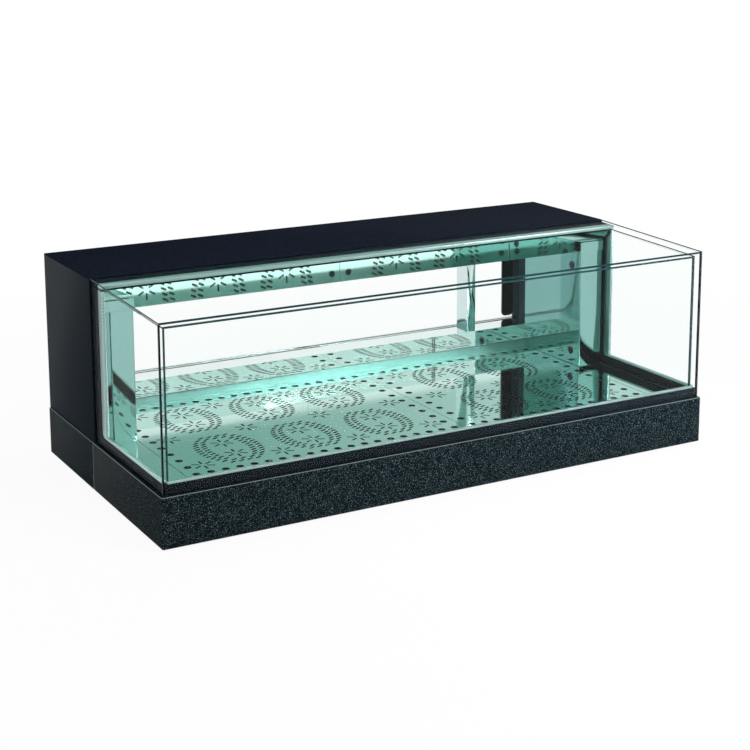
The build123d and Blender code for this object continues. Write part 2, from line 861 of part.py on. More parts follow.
# Cabinet sides, with a return behind the glass
for name, sign in (("left", -1), ("right", 1)):
    with BuildPart() as cabinet_side:
        near = sorted((sign * shell, sign * cabinet_half))
        block((near[0], cabinet_front, base_height), (near[1], cabinet_rear, case_height - steel))
        fold = sorted((sign * glass_in, sign * shell))
        block(
            (fold[0], cabinet_front, base_height), (fold[1], cabinet_front + steel, case_height - steel)
        )
    pieces["cabinet_side_" + name] = cabinet_side

# Cabinet top, with lips down at the front and the rear
with BuildPart() as cabinet_top_panel:
    block((-cabinet_half, cabinet_front, case_height - steel), (cabinet_half, cabinet_rear, case_height))
    block(
        (-glass_in, cabinet_front, under_top(cabinet_front, unit)),
        (glass_in, cabinet_front + steel, case_height - steel),
    )
    block((-shell, cabinet_rear - steel, ceiling), (shell, cabinet_rear, case_height - steel))
pieces["cabinet_top_panel"] = cabinet_top_panel

# Ceiling of the cabinet
with BuildPart() as ceiling_liner:
    block(
        (-shell, cabinet_front + steel, ceiling), (shell, cabinet_rear - steel, ceiling + liner)
    )
pieces["ceiling_liner"] = ceiling_liner

# Foam in the header and in both end walls
with BuildPart() as cabinet_insulation:
    block(
        (-shell, cabinet_front + steel, ceiling + liner),
        (shell, cabinet_rear - steel, case_height - steel),
    )
    mirrored_block(
        (wall_in + liner, cabinet_front + steel, base_height), (shell, frame_front - liner, ceiling)
    )
pieces["cabinet_insulation"] = cabinet_insulation

# End wall liners: polished sheets folded round the foam at the front and the rear
grommet_spots = [
    (jamb_front + grommet_inset, base_height + grommet_low),
    (jamb_front + grommet_inset, base_height + grommet_high),
]
for name, sign in (("left", -1), ("right", 1)):
    with BuildPart() as end_wall_liner:
        face = sorted((sign * wall_in, sign * (wall_in + liner)))
        block((face[0], jamb_front, base_height), (face[1], frame_front, ceiling))
        turn_in = sorted((sign * (wall_in + liner), sign * glass_in))
        block((turn_in[0], jamb_front, base_height), (turn_in[1], jamb_front + liner, ceiling))
        back = sorted((sign * (wall_in + liner), sign * shell))
        block((back[0], frame_front - liner, base_height), (back[1], frame_front, ceiling))
        if sign > 0:
            for y, z in grommet_spots:
                with BuildSketch(Plane.YZ.offset(wall_in)):
                    with Locations((y, z)):
                        Circle(grommet_neck)
                extrude(amount=liner, mode=Mode.SUBTRACT)
    pieces["end_wall_liner_" + name] = end_wall_liner

# Rubber bungs in the right end wall, where a probe and a lead pass
with BuildPart() as wall_grommets:
    for y, z in grommet_spots:
        with BuildSketch(Plane.YZ.offset(wall_in - grommet_depth)):
            with Locations((y, z)):
                Circle(grommet_radius)
        extrude(amount=grommet_depth)
        with BuildSketch(Plane.YZ.offset(wall_in)):
            with Locations((y, z)):
                Circle(grommet_neck)
        extrude(amount=liner)
    fillet(wall_grommets.edges().group_by(Axis.X)[0], liner / 2)
pieces["wall_grommets"] = wall_grommets

# Jamb plates on the front of both end walls
with BuildPart() as jamb_plates:
    mirrored_block(
        (wall_in, jamb_front - jamb_plate_thickness, base_height),
        (wall_in + jamb_plate_width, jamb_front, ceiling),
    )
    plate_edges = jamb_plates.edges().group_by(Axis.Y)[0]
    chamfer(plate_edges.filter_by(Axis.Z), jamb_plate_thickness / 2)
pieces["jamb_plates"] = jamb_plates

# Slanted valance under the rear of the top glass, folded from one polished sheet
valance_top_y = cabinet_front - valance_front
valance_top_z = under_top(valance_top_y, unit) - seal_clearance
valance_low_z = ceiling - valance_drop
with BuildPart() as front_valance:
    side_profile(
        [
            (valance_top_y, valance_top_z),
            (cabinet_front, valance_low_z),
            (cabinet_front + valance_return, valance_low_z),
            (cabinet_front + valance_return, ceiling),
            (cabinet_front + valance_return - liner, ceiling),
            (cabinet_front + valance_return - liner, valance_low_z + liner),
            (cabinet_front + liner / 2, valance_low_z + liner),
            (valance_top_y + 2 * liner, valance_top_z - liner),
            (valance_top_y + valance_lip, valance_top_z - liner),
            (valance_top_y + valance_lip, valance_top_z),
        ],
        -glass_in,
        glass_in,
    )
    block(
        (-glass_in, jamb_front, valance_low_z), (-wall_in, frame_front, ceiling), Mode.SUBTRACT
    )
    block(
        (wall_in, jamb_front, valance_low_z), (glass_in, frame_front, ceiling), Mode.SUBTRACT
    )
pieces["front_valance"] = front_valance

# Angle on the header that carries the rear edge of the top glass
angle_y = valance_top_y + valance_lip + seal_clearance
with BuildPart() as glass_support_angle:
    side_profile(
        [
            (angle_y, under_top(angle_y, unit)),
            (cabinet_front, under_top(cabinet_front, unit)),
            (cabinet_front, ceiling),
            (cabinet_front - steel, ceiling),
            (cabinet_front - steel, under_top(cabinet_front, unit) - steel),
            (angle_y, under_top(angle_y, unit) - steel),
        ],
        -glass_in,
        glass_in,
    )
pieces["glass_support_angle"] = glass_support_angle

# Lamp: an aluminium channel with a pale cover, behind the valance
lamp_y = cabinet_front + led_setback
with BuildPart() as led_bar:
    block((-wall_in, lamp_y, ceiling - led_height), (wall_in, lamp_y + led_width, ceiling))
    block(
        (-wall_in, lamp_y + liner, ceiling - led_height),
        (wall_in, lamp_y + led_width - liner, ceiling - led_height / 2),
        Mode.SUBTRACT,
    )
pieces["led_bar"] = led_bar

with BuildPart() as led_diffuser:
    block(
        (-wall_in, lamp_y + liner, ceiling - led_height),
        (wall_in, lamp_y + led_width - liner, ceiling - led_height / 2),
    )
pieces["led_diffuser"] = led_diffuser

# Rear jambs: two upright sections with rebates that take the doors' edges
with BuildPart() as rear_jambs:
    mirrored_block((jamb_in, frame_front, base_height), (shell, cabinet_rear, ceiling))
    mirrored_block(
        (jamb_in + jamb_rebate + steel, frame_front + steel, base_height),
        (shell - steel, cabinet_rear - steel, ceiling),
        Mode.SUBTRACT,
    )
    for y in (inner_door, outer_door):
        slot_half = door_glass / 2 + rail_wall + door_clearance
        mirrored_block(
            (jamb_in, y - slot_half, track_floor),
            (jamb_in + jamb_rebate, y + slot_half, ceiling),
            Mode.SUBTRACT,
        )
pieces["rear_jambs"] = rear_jambs

# Sill: a folded channel with a trough for the door track and a lip at its foot
with BuildPart() as rear_sill:
    block((-jamb_in, frame_front, base_height), (jamb_in, cabinet_rear, sill_top))
    block(
        (-jamb_in, frame_front + liner, base_height),
        (jamb_in, cabinet_rear - liner, sill_top - liner),
        Mode.SUBTRACT,
    )
    block(
        (-jamb_in, track_front - liner, track_floor - liner),
        (jamb_in, track_rear + liner, sill_top - liner),
    )
    block((-jamb_in, track_front, track_floor), (jamb_in, track_rear, sill_top), Mode.SUBTRACT)
    block(
        (-wall_in, frame_front - sill_lip, base_height),
        (wall_in, frame_front, base_height + sill_lip_height),
    )
pieces["rear_sill"] = rear_sill

# Door tracks: one section sunk in the sill and one under the ceiling, each with two grooves
groove_half = door_glass / 2 + rail_wall + door_clearance
with BuildPart() as lower_track:
    block((-jamb_in, track_front, track_floor), (jamb_in, track_rear, sill_top))
    for y in (inner_door, outer_door):
        block(
            (-jamb_in, y - groove_half, door_bottom - rail_wall), (jamb_in, y + groove_half, sill_top),
            Mode.SUBTRACT,
        )
pieces["lower_track"] = lower_track

head_half = door_glass / 2 + door_clearance
with BuildPart() as upper_track:
    block((-jamb_in, track_front, ceiling - upper_track_height), (jamb_in, track_rear, ceiling))
    for y in (inner_door, outer_door):
        block(
            (-jamb_in, y - head_half, ceiling - upper_track_height),
            (jamb_in, y + head_half, ceiling - rail_wall),
            Mode.SUBTRACT,
        )
pieces["upper_track"] = upper_track

# Post on the sill that holds up the header
with BuildPart() as support_post:
    post_front = frame_front + post_setback
    block(
        (post_x - post_width / 2, post_front, sill_top),
        (post_x + post_width / 2, post_front + post_depth, ceiling),
    )
    block(
        (post_x - post_width / 2 + liner, post_front + liner, sill_top),
        (post_x + post_width / 2 - liner, post_front + post_depth - liner, ceiling),
        Mode.SUBTRACT,
    )
pieces["support_post"] = support_post

# Sliding doors: a pane, its bottom rail and a finger pull near the outer edge
door_width = door_edge + door_overlap / 2
pull_middle = (sill_top + ceiling - upper_track_height) / 2
for name, sign, y in (("left", -1, inner_door), ("right", 1, outer_door)):
    ends = sorted((sign * door_edge, sign * (door_edge - door_width)))
    with BuildPart() as door_pane:
        block((ends[0], y - door_glass / 2, door_bottom), (ends[1], y + door_glass / 2, door_top))
    pieces["door_" + name + "_pane"] = door_pane
    with BuildPart() as door_rail:
        block(
            (ends[0], y - door_glass / 2 - rail_wall, door_bottom - rail_wall),
            (ends[1], y + door_glass / 2 + rail_wall, door_bottom - rail_wall + rail_height),
        )
        block(
            (ends[0], y - door_glass / 2, door_bottom),
            (ends[1], y + door_glass / 2, door_bottom - rail_wall + rail_height),
            Mode.SUBTRACT,
        )
    pieces["door_" + name + "_rail"] = door_rail
    pull_out = sign * (jamb_in - pull_inset)
    pull_x = pull_out - sign * pull_width / 2
    with BuildPart() as door_pull:
        with BuildSketch(Plane.XZ.offset(-y - door_glass / 2)):
            with Locations((pull_x, pull_middle)):
                RectangleRounded(pull_width, pull_height, pull_corner)
        extrude(amount=-pull_thickness)
    pieces["door_" + name + "_pull"] = door_pull

for label, piece in pieces.items():
    piece.part.label = label
    export_step(piece.part, f"parts/{label}.step")
print(len(pieces), "nodes written")
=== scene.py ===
import json
import logging
import math
from collections.abc import Callable
from dataclasses import dataclass, field
from enum import Enum

import bmesh
import bpy
from mathutils import Matrix, Vector

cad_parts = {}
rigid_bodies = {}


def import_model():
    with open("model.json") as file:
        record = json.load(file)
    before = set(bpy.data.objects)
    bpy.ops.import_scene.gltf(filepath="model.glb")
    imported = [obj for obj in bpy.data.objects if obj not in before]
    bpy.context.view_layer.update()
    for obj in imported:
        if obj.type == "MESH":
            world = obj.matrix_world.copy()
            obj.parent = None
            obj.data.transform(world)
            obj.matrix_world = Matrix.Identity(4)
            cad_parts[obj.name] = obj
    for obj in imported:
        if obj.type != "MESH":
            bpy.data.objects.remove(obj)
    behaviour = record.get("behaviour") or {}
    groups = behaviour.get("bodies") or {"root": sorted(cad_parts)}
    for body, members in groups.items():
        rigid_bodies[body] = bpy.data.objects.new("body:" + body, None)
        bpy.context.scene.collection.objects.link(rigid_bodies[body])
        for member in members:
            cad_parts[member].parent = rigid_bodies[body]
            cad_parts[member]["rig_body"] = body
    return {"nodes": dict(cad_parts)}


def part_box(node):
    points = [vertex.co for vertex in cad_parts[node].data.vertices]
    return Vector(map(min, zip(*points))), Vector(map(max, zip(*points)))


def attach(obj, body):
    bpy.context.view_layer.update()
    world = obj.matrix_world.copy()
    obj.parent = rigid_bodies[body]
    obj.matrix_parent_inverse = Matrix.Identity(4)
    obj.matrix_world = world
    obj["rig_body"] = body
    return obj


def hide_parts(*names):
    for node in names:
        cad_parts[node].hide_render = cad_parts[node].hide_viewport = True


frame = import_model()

LOG = logging.getLogger("display_case")
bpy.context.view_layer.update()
MM = 0.001
MERGE = 0.001 * MM
FLAT = math.radians(1.0)
CORNER = math.radians(35.0)
Colour = tuple[float, float, float]


class Grain(Enum):
    """Which way the fine lines of a ground metal sheet run."""

    NONE = (1.0, 1.0, 1.0)
    ALONG_X = (0.02, 1.0, 1.0)
    ALONG_Z = (1.0, 1.0, 0.02)


class NodeTree:
    """A material's node tree with short calls for adding and joining nodes."""

    def __init__(self, name: str) -> None:
        """Starts an empty material with its output node.

        Args:
            name: the material's name.
        """
        self.material = bpy.data.materials.new(name)
        self.material.use_nodes = True
        self.tree = self.material.node_tree
        self.tree.nodes.clear()
        self.output = self.add("ShaderNodeOutputMaterial")
        self.place = self.add("ShaderNodeTexCoord").outputs["Object"]

    def add(self, kind: str, **settings: object) -> bpy.types.Node:
        """Adds a node.

        Args:
            kind: Blender's name for the node's type.
            settings: properties to set on the node.

        Returns:
            The new node.
        """
        node = self.tree.nodes.new(kind)
        for key, value in settings.items():
            setattr(node, key, value)
        return node

    def join(self, source: bpy.types.NodeSocket, target: bpy.types.NodeSocket) -> None:
        """Links one socket to another."""
        self.tree.links.new(source, target)

    def principled(self, **values: object) -> bpy.types.Node:
        """Adds the main shader.

        Args:
            values: socket names, with underscores for spaces, and their values.

        Returns:
            The Principled node, not yet joined to the output.
        """
        shader = self.add("ShaderNodeBsdfPrincipled")
        for key, value in values.items():
            shader.inputs[key.replace("_", " ")].default_value = value
        return shader

    def noise(
        self, scale: float, detail: float = 3.0, grain: Grain = Grain.NONE
    ) -> bpy.types.NodeSocket:
        """Adds noise over the piece's own coordinates.

        Args:
            scale: the noise's scale per metre.
            detail: the number of octaves.
            grain: which way the noise is drawn out.

        Returns:
            The noise's value, from 0 to 1.
        """
        mapping = self.add("ShaderNodeMapping")
        mapping.inputs["Scale"].default_value = grain.value
        self.join(self.place, mapping.inputs["Vector"])
        texture = self.add("ShaderNodeTexNoise")
        texture.inputs["Scale"].default_value = scale
        texture.inputs["Detail"].default_value = detail
        self.join(mapping.outputs["Vector"], texture.inputs["Vector"])
        return texture.outputs["Fac"]

    def spread(
        self,
        value: bpy.types.NodeSocket,
        low: float,
        high: float,
        start: float = 0.0,
        end: float = 1.0,
    ) -> bpy.types.NodeSocket:
        """Maps a value from one range to another.

        Args:
            value: the socket to map.
            low: the result at start.
            high: the result at end.
            start: the lowest value read.
            end: the highest value read.

        Returns:
            The mapped value.
        """
        node = self.add("ShaderNodeMapRange")
        node.inputs["From Min"].default_value = start
        node.inputs["From Max"].default_value = end
        node.inputs["To Min"].default_value = low
        node.inputs["To Max"].default_value = high
        self.join(value, node.inputs["Value"])
        return node.outputs["Result"]

    def blend(
        self, factor: bpy.types.NodeSocket, first: Colour, second: Colour
    ) -> bpy.types.NodeSocket:
        """Mixes two colours.

        Args:
            factor: 0 for the first colour and 1 for the second.
            first: linear RGB.
            second: linear RGB.

        Returns:
            The mixed colour.
        """
        node = self.add("ShaderNodeMix", data_type="RGBA")
        colours = [s for s in node.inputs if s.type == "RGBA"]
        colours[0].default_value = (*first, 1.0)
        colours[1].default_value = (*second, 1.0)
        self.join(factor, node.inputs["Factor"])
        return [s for s in node.outputs if s.type == "RGBA"][0]

    def bump(
        self, height: bpy.types.NodeSocket, strength: float, distance: float
    ) -> bpy.types.NodeSocket:
        """Adds a bump.

        Args:
            height: the height, from 0 to 1.
            strength: how much of the bump is used.
            distance: the bump's full height in metres.

        Returns:
            The bent normal.
        """
        node = self.add("ShaderNodeBump")
        node.inputs["Strength"].default_value = strength
        node.inputs["Distance"].default_value = distance
        self.join(height, node.inputs["Height"])
        return node.outputs["Normal"]

    def finish(self, shader: bpy.types.Node) -> bpy.types.Material:
        """Joins the shader to the output and returns the material."""
        self.join(shader.outputs[0], self.output.inputs["Surface"])
        return self.material


@dataclass(frozen=True)
class SheetSteel:
    """Ground or polished sheet metal with a slight unevenness of gloss and flatness."""

    name: str
    tint: Colour
    gloss_low: float = 0.06
    gloss_high: float = 0.12
    grain: Grain = Grain.NONE
    ripple: float = 0.15
    smear_scale: float = 9.0
    smear_shade: float = 0.9
    line_scale: float = 900.0
    line_band: tuple[float, float] = (0.3, 0.7)
    wave_scale: float = 5.0
    wave_height: float = 2.0 * MM

    def build(self) -> bpy.types.Material:
        """Makes the material.

        Returns:
            The finished material.
        """
        tree = NodeTree(self.name)
        shader = tree.principled(Metallic=1.0)
        smear = tree.noise(self.smear_scale, detail=2.0)
        shade = tuple(channel * self.smear_shade for channel in self.tint)
        tree.join(tree.blend(smear, shade, self.tint), shader.inputs["Base Color"])
        lines = tree.noise(self.line_scale, detail=2.0, grain=self.grain)
        gloss = tree.spread(lines, self.gloss_low, self.gloss_high, *self.line_band)
        tree.join(gloss, shader.inputs["Roughness"])
        wave = tree.noise(self.wave_scale, detail=1.0)
        tree.join(tree.bump(wave, self.ripple, self.wave_height), shader.inputs["Normal"])
        return tree.finish(shader)


@dataclass(frozen=True)
class PowderCoat:
    """Black stoved paint with a fine texture and pale flecks in its colour that are painted glints
    of that texture.
    """

    name: str
    tint: Colour
    painted_glint: Colour
    gloss: float
    painted_glint_share: float
    texture: float
    shine: float = 0.12
    scale: float = 1100.0
    painted_glint_fade: float = 0.08
    cloud_scale: float = 14.0
    duller: float = 0.05
    glossier: float = 0.03
    grit_height: float = 0.3 * MM

    def build(self) -> bpy.types.Material:
        """Makes the material.

        Returns:
            The finished material.
        """
        tree = NodeTree(self.name)
        shader = tree.principled(Specular_IOR_Level=self.shine)
        grit = tree.noise(self.scale, detail=2.0)
        # Pale flecks mixed into the base colour: painted glints, fixed in place under any lamp.
        bare = 1.0 - self.painted_glint_share
        painted_glints = tree.spread(grit, 0.0, 1.0, bare, bare + self.painted_glint_fade)
        tree.join(tree.blend(painted_glints, self.tint, self.painted_glint), shader.inputs["Base Color"])
        cloud = tree.noise(self.cloud_scale)
        gloss = tree.spread(cloud, self.gloss - self.glossier, self.gloss + self.duller)
        tree.join(gloss, shader.inputs["Roughness"])
        tree.join(tree.bump(grit, self.texture, self.grit_height), shader.inputs["Normal"])
        return tree.finish(shader)


@dataclass(frozen=True)
class PaneGlass:
    """Clear float glass that lets the lamps' light through to what stands behind it."""

    name: str
    tint: Colour
    bend: float = 1.45
    shade: float = 0.96

    def build(self) -> bpy.types.Material:
        """Makes the material.

        Returns:
            The finished material.
        """
        tree = NodeTree(self.name)
        shader = tree.principled(
            Base_Color=(*self.tint, 1.0), Roughness=0.0, IOR=self.bend, Transmission_Weight=1.0
        )
        clear = tree.add("ShaderNodeBsdfTransparent")
        clear.inputs["Color"].default_value = (*(channel * self.shade for channel in self.tint), 1.0)
        rays = tree.add("ShaderNodeLightPath")
        mix = tree.add("ShaderNodeMixShader")
        tree.join(rays.outputs["Is Shadow Ray"], mix.inputs[0])
        tree.join(shader.outputs[0], mix.inputs[1])
        tree.join(clear.outputs[0], mix.inputs[2])
        return tree.finish(mix)


@dataclass(frozen=True)
class Moulding:
    """Moulded plastic or rubber with a fine grain."""

    name: str
    tint: Colour
    gloss: float
    texture: float = 0.2
    mottle: float = 0.12
    scale: float = 500.0
    shine: float = 0.5
    glow: float = 0.0
    cloud_size: float = 12.0
    gloss_swing: float = 0.04
    grit_height: float = 0.2 * MM

    def build(self) -> bpy.types.Material:
        """Makes the material.

        Returns:
            The finished material.
        """
        tree = NodeTree(self.name)
        shader = tree.principled(
            Specular_IOR_Level=self.shine,
            Emission_Color=(1.0, 1.0, 1.0, 1.0),
            Emission_Strength=self.glow,
        )
        cloud = tree.noise(self.scale / self.cloud_size)
        dark = tuple(channel * (1.0 - self.mottle) for channel in self.tint)
        tree.join(tree.blend(cloud, dark, self.tint), shader.inputs["Base Color"])
        grit = tree.noise(self.scale)
        gloss = tree.spread(grit, self.gloss - self.gloss_swing, self.gloss + self.gloss_swing)
        tree.join(gloss, shader.inputs["Roughness"])
        tree.join(tree.bump(grit, self.texture, self.grit_height), shader.inputs["Normal"])
        return tree.finish(shader)


BLACK_STEEL = PowderCoat(
    "black_steel",
    (0.011, 0.018, 0.025),
    painted_glint=(0.026, 0.040, 0.052),
    gloss=0.34,
    painted_glint_share=0.40,
    texture=0.10,
    shine=0.006,
)
TOP_STEEL = PowderCoat(
    "top_black_steel",
    (0.007, 0.010, 0.018),
    painted_glint=(0.034, 0.044, 0.074),
    gloss=0.36,
    painted_glint_share=0.42,
    texture=0.20,
    shine=0.0002,
)
BASE_BLACK = PowderCoat(
    "base_black",
    (0.004, 0.009, 0.011),
    painted_glint=(0.150, 0.205, 0.230),
    gloss=0.40,
    painted_glint_share=0.41,
    texture=0.30,
    shine=0.006,
    scale=860.0,
)
# Pale paint for the base's broken edges: its pale colour is a painted highlight along them, while
# its stronger shine is real.
EDGE_HIGHLIGHT_PAINT = PowderCoat(
    "painted_edge_highlight",
    (0.20, 0.25, 0.26),
    painted_glint=(0.32, 0.38, 0.40),
    gloss=0.30,
    painted_glint_share=0.40,
    texture=0.10,
    shine=0.4,
)
MIRROR = SheetSteel(
    "mirror_steel", (0.90, 0.95, 0.94), gloss_low=0.02, gloss_high=0.05, ripple=0.04
)
POLISHED = SheetSteel(
    "polished_steel",
    (0.28, 0.52, 0.48),
    gloss_low=0.05,
    gloss_high=0.08,
    grain=Grain.ALONG_Z,
    ripple=0.05,
)
POST = SheetSteel(
    "post_steel",
    (0.70, 0.82, 0.82),
    gloss_low=0.04,
    gloss_high=0.07,
    grain=Grain.ALONG_Z,
    ripple=0.04,
)
SILL = SheetSteel("sill_steel", (0.80, 0.90, 0.88), gloss_low=0.01, gloss_high=0.03, ripple=0.02)
# The end walls' steel is tinted dark: a painted dark reflection of the black parts around them, over
# the steel's own colour.
WALL_PAINTED_DARK = SheetSteel(
    "wall_steel_painted_dark",
    (0.20, 0.42, 0.39),
    gloss_low=0.04,
    gloss_high=0.07,
    grain=Grain.ALONG_Z,
    ripple=0.05,
)
SATIN = SheetSteel(
    "satin_steel", (0.78, 0.88, 0.87), gloss_low=0.42, gloss_high=0.55, grain=Grain.ALONG_X
)
TRAY = SheetSteel(
    "tray_steel",
    (0.58, 0.84, 0.77),
    gloss_low=0.04,
    gloss_high=0.09,
    grain=Grain.ALONG_X,
    ripple=0.04,
)
LIP = SheetSteel(
    "sill_lip",
    (0.26, 0.46, 0.44),
    gloss_low=0.30,
    gloss_high=0.40,
    grain=Grain.ALONG_X,
    ripple=0.05,
)
# Near-black for hole walls and for the sill lip's upper face: painted shade in the holes and in the
# gap above the lip.
PAINTED_SHADE = SheetSteel("painted_shade", (0.03, 0.07, 0.065), gloss_low=0.40, gloss_high=0.50)
PLAIN_STEEL = SheetSteel(
    "plain_steel", (0.30, 0.36, 0.35), gloss_low=0.22, gloss_high=0.36, grain=Grain.ALONG_X
)
ALUMINIUM = SheetSteel(
    "aluminium", (0.62, 0.74, 0.73), gloss_low=0.22, gloss_high=0.34, grain=Grain.ALONG_X
)
TRACK = SheetSteel(
    "track_aluminium", (0.92, 0.96, 0.96), gloss_low=0.08, gloss_high=0.14, ripple=0.02
)
SPACER = SheetSteel(
    "spacer_aluminium", (0.36, 0.52, 0.50), gloss_low=0.30, gloss_high=0.42, grain=Grain.ALONG_Z
)
SCREW = SheetSteel("screw_steel", (0.50, 0.52, 0.53), gloss_low=0.20, gloss_high=0.32)
COPPER = SheetSteel("copper", (0.72, 0.34, 0.20), gloss_low=0.22, gloss_high=0.36)
BLACK_ALUMINIUM = PowderCoat(
    "black_aluminium",
    (0.036, 0.068, 0.088),
    painted_glint=(0.045, 0.078, 0.098),
    gloss=0.28,
    painted_glint_share=0.40,
    texture=0.06,
    shine=0.02,
)
SIDE_GLASS = PaneGlass("side_glass", (0.994, 0.999, 0.998), bend=1.03)
FRONT_GLASS = PaneGlass("front_glass", (0.985, 0.999, 0.995), bend=1.12)
TOP_GLASS = PaneGlass("top_glass", (0.992, 0.999, 0.998), bend=1.01)
DOOR_GLASS = PaneGlass("door_glass", (0.994, 0.999, 0.998), bend=1.03)
# Dark teal for the pane edges: the green of the glass seen edge-on, and a painted dark line where
# refraction would darken the edge.
GLASS_EDGE_WITH_PAINTED_LINE = Moulding(
    "glass_edge_with_painted_line",
    (0.016, 0.050, 0.055),
    gloss=0.20,
    texture=0.0,
    mottle=0.3,
    scale=300.0,
    shine=0.05,
)
SEALANT = Moulding(
    "edge_sealant",
    (0.006, 0.010, 0.014),
    gloss=0.42,
    texture=0.02,
    mottle=0.1,
    scale=500.0,
    shine=0.01,
)
FOAM = Moulding(
    "insulating_foam",
    (0.72, 0.62, 0.38),
    gloss=0.85,
    texture=0.6,
    mottle=0.25,
    scale=900.0,
)
BLACK_PLASTIC = Moulding("black_plastic", (0.012, 0.012, 0.013), gloss=0.42, texture=0.25)
GREY_PLASTIC = Moulding("grey_plastic", (0.20, 0.21, 0.22), gloss=0.45, texture=0.25)
LENS = Moulding("display_lens", (0.030, 0.004, 0.004), gloss=0.12, texture=0.0, mottle=0.2)
DIFFUSER = Moulding(
    "lamp_diffuser",
    (0.86, 0.88, 0.90),
    gloss=0.45,
    texture=0.1,
    mottle=0.03,
    scale=500.0,
    shine=0.5,
    glow=1.2,
)
PULL = Moulding(
    "pull_plastic",
    (0.070, 0.120, 0.145),
    gloss=0.30,
    texture=0.15,
    mottle=0.35,
    scale=700.0,
    shine=0.1,
)
RUBBER = Moulding("rubber", (0.012, 0.012, 0.012), gloss=0.62, texture=0.35)
ROCKER = Moulding("rocker_plastic", (0.014, 0.014, 0.016), gloss=0.22, texture=0.05)
# Near-black for the discs on the spacer bars: painted shade inside the vent holes.
HOLE_SHADE = Moulding("spacer_hole_shade", (0.02, 0.025, 0.025), gloss=0.70, texture=0.0)

Finish = SheetSteel | PowderCoat | PaneGlass | Moulding


class Palette:
    """The finishes as Blender materials, each made once."""

    def __init__(self) -> None:
        """Starts with no material made."""
        self.made: dict[str, bpy.types.Material] = {}

    def get(self, finish: Finish) -> bpy.types.Material:
        """Gives the finish's material, and makes it when it is first asked for.

        Args:
            finish: the finish that is wanted.

        Returns:
            Its material.
        """
        if finish.name not in self.made:
            self.made[finish.name] = finish.build()
        return self.made[finish.name]


PALETTE = Palette()


def dress(node: str, finish: Finish) -> bpy.types.Object:
    """Gives a CAD node its finish.

    Args:
        node: the CAD node's name.
        finish: the finish to give it.

    Returns:
        The node's object.
    """
    piece = frame["nodes"][node]
    piece.data.materials.clear()
    piece.data.materials.append(PALETTE.get(finish))
    LOG.info("dressed %s in %s", node, finish.name)
    return piece


def body_of_node(node: str) -> str:
    """Returns the name of the body that a CAD node rides on."""
    return frame["nodes"][node]["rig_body"]


def link(name: str, mesh: bpy.types.Mesh) -> bpy.types.Object:
    """Puts a mesh in the scene as an object at the origin.

    Args:
        name: the object's name.
        mesh: its mesh, with its place in its points.

    Returns:
        The object.
    """
    piece = bpy.data.objects.new(name, mesh)
    bpy.context.scene.collection.objects.link(piece)
    return piece


def baked(piece: bpy.types.Object) -> bpy.types.Object:
    """Turns a piece's modifiers into plain mesh.

    Args:
        piece: the object whose modifiers are applied.

    Returns:
        The same object, with a plain mesh and no modifiers.
    """
    bpy.context.view_layer.update()
    evaluated = piece.evaluated_get(bpy.context.evaluated_depsgraph_get())
    mesh = bpy.data.meshes.new_from_object(evaluated)
    piece.modifiers.clear()
    piece.data = mesh
    return piece


def piece_from(
    name: str, form: bmesh.types.BMesh, finish: Finish
) -> bpy.types.Object:
    """Makes a piece that belongs to the case from a finished form.

    Args:
        name: the piece's name.
        form: the form, which is used up.
        finish: the piece's finish.

    Returns:
        The piece.
    """
    mesh = bpy.data.meshes.new(name)
    form.to_mesh(mesh)
    form.free()
    mesh.materials.append(PALETTE.get(finish))
    piece = link(name, mesh)
    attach(piece, "case")
    return piece


def recoated(
    node: str,
    name: str,
    finishes: tuple[Finish, ...],
    choose: Callable[[bpy.types.MeshPolygon], int],
) -> bpy.types.Object:
    """Puts a copy whose faces have several finishes in place of a CAD node.

    Args:
        node: the CAD node's name.
        name: the new piece's name.
        finishes: the finishes to choose from.
        choose: gives the place in finishes of a face's finish.

    Returns:
        The new piece.
    """
    mesh = frame["nodes"][node].data.copy()
    mesh.materials.clear()
    for finish in finishes:
        mesh.materials.append(PALETTE.get(finish))
    for face in mesh.polygons:
        face.material_index = choose(face)
    piece = link(name, mesh)
    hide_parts(node)
    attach(piece, body_of_node(node))
    LOG.info("made %s with %d finishes", name, len(finishes))
    return piece


def soften(
    node: str,
    finish: Finish,
    width: float,
    segments: int = 2,
    edge: Finish | None = None,
    shrink: float = 0.0,
) -> bpy.types.Object:
    """Puts a copy with broken edges in place of a CAD node.

    Args:
        node: the CAD node's name.
        finish: the finish of the new piece.
        width: the width of the broken edge in metres.
        segments: the number of facets across it.
        edge: the finish of the broken edges, where it differs; the pale one passed for the base
            paints a highlight along them.
        shrink: how far the surface is drawn in, to part it from a touching pane.

    Returns:
        The new piece.
    """
    mesh = frame["nodes"][node].data.copy()
    form = bmesh.new()
    form.from_mesh(mesh)
    bmesh.ops.remove_doubles(form, verts=form.verts, dist=MERGE)
    bmesh.ops.dissolve_limit(form, angle_limit=FLAT, verts=form.verts, edges=form.edges)
    form.normal_update()
    for corner in form.verts:
        corner.co -= corner.normal * shrink
    for line in form.edges:
        line.smooth = True
    for face in form.faces:
        face.smooth = True
    form.to_mesh(mesh)
    form.free()
    mesh.materials.clear()
    mesh.materials.append(PALETTE.get(finish))
    piece = link(node + "_eased", mesh)
    bevel = piece.modifiers.new("eased_edges", "BEVEL")
    bevel.width = width
    bevel.segments = segments
    bevel.limit_method = "ANGLE"
    bevel.angle_limit = CORNER
    bevel.harden_normals = True
    bevel.use_clamp_overlap = True
    if edge is not None:
        mesh.materials.append(PALETTE.get(edge))
        bevel.material = 1
    baked(piece)
    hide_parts(node)
    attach(piece, body_of_node(node))
    LOG.info("eased the edges of %s by %.2f mm", node, width / MM)
    return piece


@dataclass(frozen=True)
class RowOfHoles:
    """A straight row of small round marks, given by its ends."""

    start: Vector
    end: Vector
    facing: Vector


